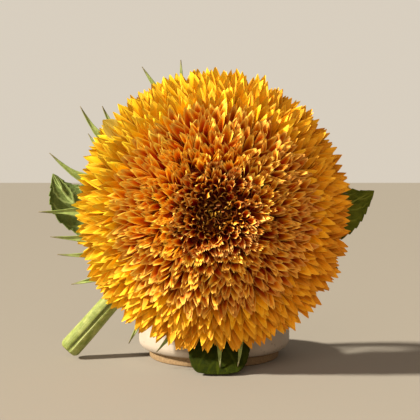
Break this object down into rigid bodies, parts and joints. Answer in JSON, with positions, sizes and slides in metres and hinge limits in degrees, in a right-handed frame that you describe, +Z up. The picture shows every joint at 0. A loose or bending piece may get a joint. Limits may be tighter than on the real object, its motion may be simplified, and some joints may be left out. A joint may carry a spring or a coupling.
{
  "type": "cut sunflower bloom on a dish",
  "caption": "A cut double sunflower head, packed with narrow golden florets, on a short green stem with leaves and bracts, propped against a low ceramic dish.",
  "frame": {"origin": "centre of the flat underside of the dish's foot", "axes": "+Z up, the bloom faces -Y and the stem slants down towards -X"},
  "size_m": [0.1826, 0.1259, 0.1663],
  "materials": {
    "dish_ceramic": "matte",
    "stem_green": "matte",
    "leaf_green": "matte",
    "bract_green": "matte",
    "ray_petal": "matte",
    "floret": "matte",
    "eye_bud": "matte"
  },
  "bodies": {
    "root": {"dish": "dish_ceramic", "stem": "stem_green", "leaf_left": "leaf_green", "leaf_right": "leaf_green", "leaf_bottom": "leaf_green", "receptacle": "stem_green", "bloom_rays": "ray_petal", "bloom_florets": "floret", "bloom_eye": "eye_bud", "bract_01": "bract_green", "bract_02": "bract_green", "bract_03": "bract_green", "bract_04": "bract_green", "bract_05": "bract_green", "bract_06": "bract_green", "bract_07": "bract_green", "bract_08": "bract_green", "bract_09": "bract_green", "bract_10": "bract_green", "bract_11": "bract_green", "bract_12": "bract_green", "bract_13": "bract_green", "bract_14": "bract_green", "bract_15": "bract_green", "bract_16": "bract_green", "bract_17": "bract_green", "bract_18": "bract_green", "bract_19": "bract_green", "bract_20": "bract_green", "bract_21": "bract_green", "bract_22": "bract_green", "bract_23": "bract_green", "bract_24": "bract_green", "bract_25": "bract_green", "bract_26": "bract_green", "bract_27": "bract_green", "bract_28": "bract_green", "bract_29": "bract_green"}
  },
  "joints": []
}
